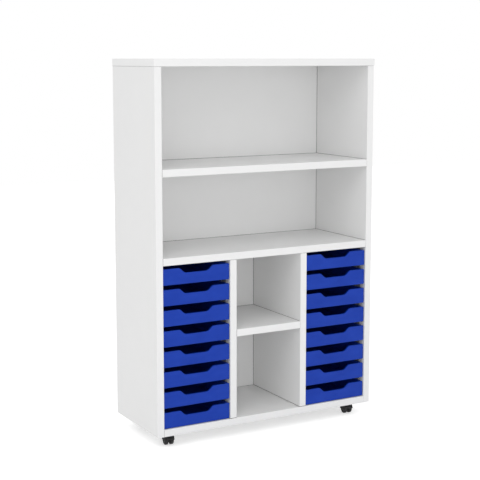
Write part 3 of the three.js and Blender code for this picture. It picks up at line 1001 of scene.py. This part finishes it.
def add_plate_screws():
    """Four screws up through each castor plate."""
    places = []
    for end in ENDS:
        for hand in SIDES:
            low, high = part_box(f"{end}_{hand}_castor_plate")
            middle = (low + high) / 2
            for x in (-PLATE_HOLE_OFFSET, PLATE_HOLE_OFFSET):
                for y in (-PLATE_HOLE_OFFSET, PLATE_HOLE_OFFSET):
                    places.append((middle.x + x, middle.y + y, low.z))
    add_screws("castor_plate_screws", PLATE_SCREW, places, (0, 0, -1))


def spaced(start, stop, count):
    """Evenly spaced values, with both ends."""
    return [start + (stop - start) * i / (count - 1) for i in range(count)]


def add_back_screws():
    """Screws that hold the back panel to the sides, shelves and dividers."""
    low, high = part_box("back_panel")
    y = high.y - BACK_PANEL_SETBACK
    heights = spaced(low.z + BACK_SCREW_END_INSET, high.z - BACK_SCREW_END_INSET, BACK_SCREW_ROWS)
    edges = (low.x + BACK_SCREW_EDGE_INSET, high.x - BACK_SCREW_EDGE_INSET)
    places = [(x, y, z) for x in edges for z in heights]
    inner = spaced(low.x, high.x, SHELF_SCREWS + 2)[1:-1]
    for shelf in ("bottom_panel", "mid_shelf", "upper_shelf"):
        shelf_low, shelf_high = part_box(shelf)
        places += [(x, y, (shelf_low.z + shelf_high.z) / 2) for x in inner]
    for hand in SIDES:
        divider_low, divider_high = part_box(hand + "_divider")
        x = (divider_low.x + divider_high.x) / 2
        divider_heights = spaced(divider_low.z, divider_high.z, DIVIDER_SCREWS + 2)[1:-1]
        places += [(x, y, z) for z in divider_heights]
    add_screws("back_panel_screws", BACK_SCREW, places, (0, 1, 0))


# Stage

def shows_background(tree):
    """1 for the rays that show the background: from the camera, off gloss or through glass."""
    path = tree.nodes.new("ShaderNodeLightPath")
    shown = path.outputs["Is Camera Ray"]
    for ray in ("Is Glossy Ray", "Is Transmission Ray"):
        either = tree.nodes.new("ShaderNodeMath")
        either.operation = "MAXIMUM"
        tree.links.new(shown, either.inputs[0])
        tree.links.new(path.outputs[ray], either.inputs[1])
        shown = either.outputs["Value"]
    return shown


def floor_finish():
    """A pale matt surface that glows as part of the background, so that it looks white."""
    material = new_finish(
        "pale_floor",
        Base_Color=FLOOR_COLOUR,
        Roughness=FLOOR_ROUGHNESS,
        Specular_IOR_Level=0,
        Emission_Color=WHITE,
    )
    nodes, links = material.node_tree.nodes, material.node_tree.links
    glow = nodes.new("ShaderNodeMath")
    glow.operation = "MULTIPLY"
    glow.inputs[1].default_value = FLOOR_GLOW
    links.new(shows_background(material.node_tree), glow.inputs[0])
    links.new(glow.outputs["Value"], nodes["Principled BSDF"].inputs["Emission Strength"])
    return material


def add_floor():
    """A wide floor under the unit that keeps its shadow."""
    corners = rounded(rectangle(-FLOOR_HALF, -FLOOR_HALF, FLOOR_HALF, FLOOR_HALF))
    bm = bmesh.new()
    bm.faces.new([bm.verts.new((x, y, 0)) for x, y in corners])
    mesh = mesh_of(bm)
    mesh.materials.append(floor_finish())
    floor = bpy.data.objects.new("floor", mesh)
    bpy.context.scene.collection.objects.link(floor)


def add_world():
    """Even studio light all round, on a background that looks white."""
    world = bpy.data.worlds.new("studio")
    bpy.context.scene.world = world
    world.use_nodes = True
    nodes, links = world.node_tree.nodes, world.node_tree.links
    ambient = nodes["Background"]
    ambient.inputs["Color"].default_value = WHITE
    ambient.inputs["Strength"].default_value = ROOM_LIGHT
    white = nodes.new("ShaderNodeBackground")
    white.inputs["Color"].default_value = WHITE
    white.inputs["Strength"].default_value = 1
    mix = nodes.new("ShaderNodeMixShader")
    links.new(shows_background(world.node_tree), mix.inputs["Fac"])
    links.new(ambient.outputs["Background"], mix.inputs[1])
    links.new(white.outputs["Background"], mix.inputs[2])
    links.new(mix.outputs["Shader"], nodes["World Output"].inputs["Surface"])


def add_lamp(name, place, power):
    """A wide round lamp that faces the unit."""
    lamp = bpy.data.lights.new(name, "AREA")
    lamp.shape = "DISK"
    lamp.size = LAMP_WIDTH
    lamp.energy = power
    holder = bpy.data.objects.new(name, lamp)
    holder.location = place
    holder.rotation_euler = (Vector(LAMP_TARGET) - Vector(place)).to_track_quat("-Z", "Y").to_euler()
    bpy.context.scene.collection.objects.link(holder)


def add_camera():
    """The camera, close to the one that took the photograph."""
    data = bpy.data.cameras.new("camera")
    data.lens = CAMERA_LENS
    data.sensor_width = CAMERA_SENSOR
    data.shift_y = CAMERA_SHIFT
    camera = bpy.data.objects.new("camera", data)
    camera.location = CAMERA_PLACE
    camera.rotation_euler = (math.radians(90 - CAMERA_PITCH), 0, -math.radians(CAMERA_YAW))
    bpy.context.scene.collection.objects.link(camera)
    bpy.context.scene.camera = camera


add_camera()
for hand, side in SIDES.items():
    add_side_panel(hand + "_side_panel", side)
    add_divider(hand + "_divider", side)
for shelf in ("mid_shelf", "upper_shelf", "centre_shelf"):
    add_shelf(shelf)
add_shelf("bottom_panel", BOTTOM_END_ROUND)
add_top_panel("top_panel")
add_back_panel("back_panel")
add_trays()
add_castors()
add_runners()
add_plate_screws()
add_back_screws()

add_floor()
add_world()
for lamp, (place, power) in LAMPS.items():
    add_lamp(lamp, place, power)
bpy.context.scene.view_settings.view_transform = "Standard"
